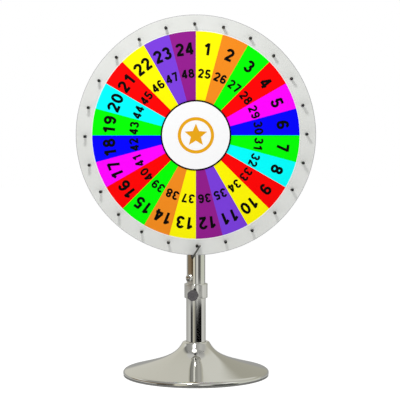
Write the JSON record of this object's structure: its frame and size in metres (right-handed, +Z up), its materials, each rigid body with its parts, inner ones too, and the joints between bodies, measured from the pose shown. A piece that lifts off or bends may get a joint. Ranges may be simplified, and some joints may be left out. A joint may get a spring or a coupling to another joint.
{
  "type": "tabletop prize wheel",
  "caption": "Tabletop prize wheel: round numbered board with rim pegs, turning on a telescopic chrome stand with a clicker, a clamp knob and a trumpet base.",
  "frame": {"origin": "on the floor, on the axis of the mast, at the centre of the base", "axes": "+Z up along the mast, -Y towards the players, who see the wheel's printed face; +X to their right"},
  "size_m": [0.6096, 0.378, 0.9258],
  "materials": {
    "chrome": "polished chrome plate",
    "zinc_steel": "zinc-plated steel",
    "bearing_steel": "ground steel",
    "peg_steel": "dark nickel plate",
    "flapper_steel": "satin black",
    "cast_iron": "rough black paint",
    "foot_rubber": "matt",
    "flapper_rubber": "matt",
    "black_plastic": "moulded, satin",
    "knob_plastic": "moulded, satin",
    "white_board": "white laminate on fibreboard",
    "printed_sheet": "satin print",
    "centre_sheet": "satin print"
  },
  "bodies": {
    "stand": {"base_shell": "chrome", "foot_ring": "foot_rubber", "ballast_disc": "cast_iron", "base_washer": "zinc_steel", "base_bolt": "zinc_steel", "tube_plug": "zinc_steel", "lower_tube": "chrome", "clamp_collar": "chrome"},
    "clamp_pad": {"clamp_pad": "black_plastic"},
    "clamp_knob": {"clamp_screw": "zinc_steel", "clamp_knob": "knob_plastic"},
    "mast": {"mast_tube": "chrome", "mast_cap": "black_plastic", "mast_foot_plug": "black_plastic", "stop_screw": "chrome", "hub_saddle_front": "zinc_steel", "axle_bolt": "zinc_steel", "bearing_front_inner": "bearing_steel", "bearing_spacer": "zinc_steel", "bearing_rear_inner": "bearing_steel", "hub_saddle_rear": "zinc_steel", "axle_washer": "zinc_steel", "axle_nut": "chrome", "flapper_post": "flapper_steel", "flapper_cap": "flapper_steel"},
    "flapper": {"flapper_strip": "flapper_rubber"},
    "wheel": {"wheel_board": "white_board", "print_sheet": "printed_sheet", "centre_disc": "centre_sheet", "wheel_hub": "zinc_steel", "bearing_front_outer": "bearing_steel", "bearing_rear_outer": "bearing_steel", "hub_screw_1": "zinc_steel", "hub_screw_2": "zinc_steel", "hub_screw_3": "zinc_steel", "hub_screw_4": "zinc_steel", "peg_01": "peg_steel", "peg_02": "peg_steel", "peg_03": "peg_steel", "peg_04": "peg_steel", "peg_05": "peg_steel", "peg_06": "peg_steel", "peg_07": "peg_steel", "peg_08": "peg_steel", "peg_09": "peg_steel", "peg_10": "peg_steel", "peg_11": "peg_steel", "peg_12": "peg_steel", "peg_13": "peg_steel", "peg_14": "peg_steel", "peg_15": "peg_steel", "peg_16": "peg_steel", "peg_17": "peg_steel", "peg_18": "peg_steel", "peg_19": "peg_steel", "peg_20": "peg_steel", "peg_21": "peg_steel", "peg_22": "peg_steel", "peg_23": "peg_steel", "peg_24": "peg_steel"}
  },
  "joints": [
    {"name": "mast_height", "type": "slide", "parent": "stand", "child": "mast", "axis": [0, 0, 1], "range_m": [-0.005, 0.08]},
    {"name": "wheel_spin", "type": "hinge", "parent": "mast", "child": "wheel", "pos_m": [0, -0.0485, 0.621], "axis": [0, -1, 0], "continuous": true},
    {"name": "flapper_flex", "type": "hinge", "parent": "mast", "child": "flapper", "pos_m": [-0.0085, -0.068, 0.3116], "axis": [0, 1, 0], "range_deg": [0, 35], "stiffness_Nm_per_rad": 0.08, "springref_deg": -33.8},
    {"name": "clamp_advance", "type": "slide", "parent": "stand", "child": "clamp_pad", "axis": [-0.1478, -0.989, 0], "range_m": [0, 0.00187]},
    {"name": "clamp_turn", "type": "hinge", "parent": "clamp_pad", "child": "clamp_knob", "pos_m": [-0.00739, -0.04945, 0.2125], "axis": [-0.1478, -0.989, 0], "range_deg": [0, 540]}
  ],
  "couplings": [
    {"joint": "clamp_turn", "follows": "clamp_advance", "rad_per_m": 5026.5}
  ]
}
